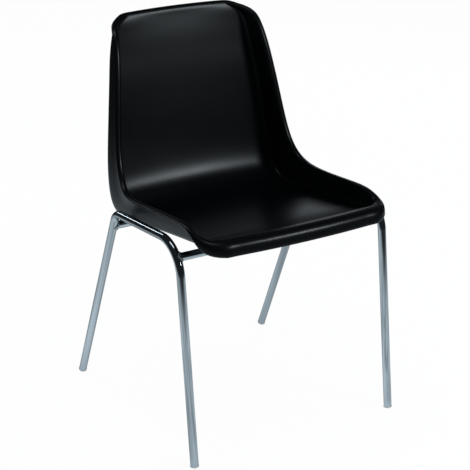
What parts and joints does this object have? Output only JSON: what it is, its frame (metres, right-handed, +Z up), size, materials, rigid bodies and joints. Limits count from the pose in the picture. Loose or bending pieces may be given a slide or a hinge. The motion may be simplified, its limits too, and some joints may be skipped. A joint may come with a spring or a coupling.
{
  "type": "choir chair",
  "caption": "Stacking choir chair: a one-piece moulded bucket seat and back with a rolled rim, screwed to a chromed bent-tube frame with splayed rear legs and plastic glides.",
  "frame": {"origin": "on the floor under the middle of the bounding box, with the glides' worn faces at Z = 0", "axes": "+Z up; the sitter faces -Y; +X is the sitter's left; the chair is symmetric about the YZ plane"},
  "size_m": [0.47, 0.5133, 0.7673],
  "materials": {
    "shell_plastic": "near-black polypropylene, satin gloss with a fine grain",
    "chromed_tube": "bright chrome plate on steel tube",
    "chromed_weld": "chrome-plated weld bead",
    "glide_plastic": "pale moulded plastic",
    "brass_insert": "turned brass",
    "washer_plastic": "black moulded plastic",
    "screw_steel": "zinc-plated steel"
  },
  "bodies": {
    "root": {"seat_shell": "shell_plastic", "left_side_frame": "chromed_tube", "right_side_frame": "chromed_tube", "front_cross_tube": "chromed_tube", "rear_cross_tube": "chromed_tube", "front_welds": "chromed_weld", "rear_welds": "chromed_weld", "foot_glides": "glide_plastic", "threaded_inserts": "brass_insert", "saddle_washers": "washer_plastic", "shell_screws": "screw_steel"}
  },
  "joints": []
}
